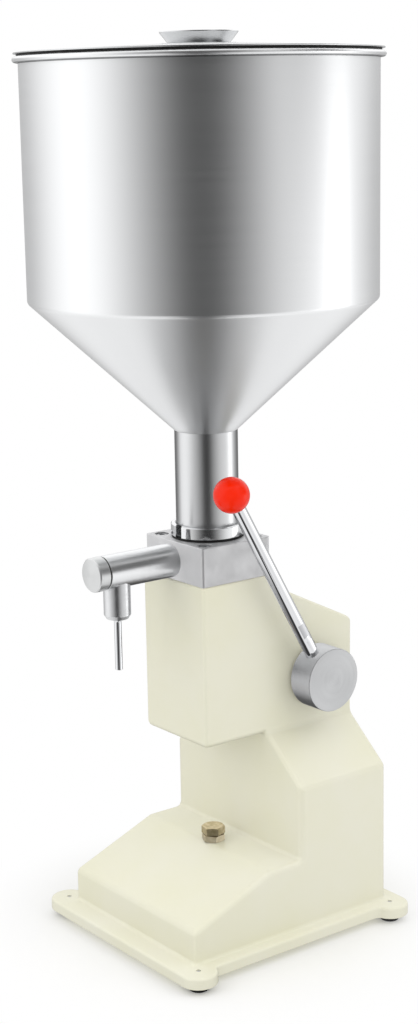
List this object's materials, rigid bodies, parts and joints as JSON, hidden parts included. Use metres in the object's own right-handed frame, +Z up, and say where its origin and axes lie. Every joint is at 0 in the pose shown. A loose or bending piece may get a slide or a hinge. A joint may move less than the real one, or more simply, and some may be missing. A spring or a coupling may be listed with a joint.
{
  "type": "donut filler machine",
  "caption": "Tabletop hand lever filler with a covered hopper over a valve block, a side lever that works a piston pump, and a filling nozzle on a short outlet tube.",
  "frame": {"origin": "on the surface that the feet stand on, below the common axis of pump and hopper", "axes": "+Z up along the pump's axis, -Y towards the nozzle, +X towards the lever"},
  "size_m": [0.298, 0.298, 0.76],
  "materials": {
    "cream_enamel": "satin cream enamel on a cast body",
    "hopper_steel": "stainless sheet with a fine satin polish",
    "polished_steel": "polished or chromed steel",
    "satin_steel": "bead blasted or fine turned stainless steel",
    "screw_steel": "plain stainless fasteners and springs",
    "zinc_plate": "zinc plated steel with a faint yellow tint",
    "bush_bronze": "bearing bronze",
    "black_rubber": "black rubber",
    "red_plastic": "glossy red phenolic ball"
  },
  "bodies": {
    "machine": {"body_casting": "cream_enamel", "rear_cover": "cream_enamel", "rear_cover_screws": "screw_steel", "foot_front_left": "black_rubber", "foot_front_right": "black_rubber", "foot_rear_left": "black_rubber", "foot_rear_right": "black_rubber", "foot_screws": "screw_steel", "valve_block": "satin_steel", "block_screws": "screw_steel", "neck_gasket": "black_rubber", "ring_nut": "polished_steel", "neck_tube": "hopper_steel", "hopper_bowl": "hopper_steel", "outlet_tube": "satin_steel", "cap_o_ring": "black_rubber", "outlet_end_cap": "polished_steel", "nozzle_holder": "satin_steel", "nozzle_tube": "polished_steel", "outlet_spring": "screw_steel", "inlet_spring": "screw_steel", "spring_cage": "satin_steel", "pump_cylinder": "satin_steel", "cylinder_gasket": "black_rubber", "rod_guide_bush": "bush_bronze", "shaft_bush_right": "bush_bronze", "shaft_bush_left": "bush_bronze"},
    "lever": {"drive_arm": "satin_steel", "arm_screw": "screw_steel", "lever_shaft": "satin_steel", "shaft_retaining_ring": "screw_steel", "lever_hub": "satin_steel", "hub_set_screw": "screw_steel", "lever_rod": "polished_steel", "lever_ball": "red_plastic"},
    "pump_rod": {"piston": "polished_steel", "piston_seals": "black_rubber", "piston_rod": "polished_steel", "cross_pin": "polished_steel", "pin_clips": "screw_steel"},
    "hopper_lid": {"hopper_lid": "hopper_steel", "lid_seal": "black_rubber", "lid_knob": "hopper_steel", "knob_screw": "screw_steel"},
    "adjuster": {"adjusting_bolt": "zinc_plate"},
    "lock_nut": {"lock_nut": "zinc_plate"},
    "inlet_ball": {"inlet_valve_ball": "polished_steel"},
    "outlet_ball": {"outlet_valve_ball": "polished_steel"}
  },
  "joints": [
    {"name": "lever_swing", "type": "hinge", "parent": "machine", "child": "lever", "pos_m": [0, 0.0785, 0.2215], "axis": [1, 0, 0], "range_deg": [0, 31.2]},
    {"name": "piston_stroke", "type": "slide", "parent": "machine", "child": "pump_rod", "axis": [0, 0, -1], "range_m": [0, 0.044]},
    {"name": "lid_lift", "type": "slide", "parent": "machine", "child": "hopper_lid", "axis": [0, 0, 1], "range_m": [0, 0.15]},
    {"name": "bolt_travel", "type": "slide", "parent": "machine", "child": "adjuster", "axis": [0, 0, 1], "range_m": [0, 0.045]},
    {"name": "lock_nut_turn", "type": "hinge", "parent": "machine", "child": "lock_nut", "pos_m": [0, 0, 0.079], "axis": [0, 0, 1], "continuous": true},
    {"name": "inlet_valve", "type": "slide", "parent": "machine", "child": "inlet_ball", "axis": [0, 0, -1], "range_m": [0, 0.003], "stiffness_N_per_m": 300, "springref_m": -0.002, "deforming": ["inlet_spring"]},
    {"name": "outlet_valve", "type": "slide", "parent": "machine", "child": "outlet_ball", "axis": [0, -1, 0], "range_m": [0, 0.004], "stiffness_N_per_m": 150, "springref_m": -0.006, "deforming": ["outlet_spring"]}
  ],
  "couplings": [
    {"joint": "piston_stroke", "follows": "lever_swing", "m_per_rad": 0.0806}
  ]
}
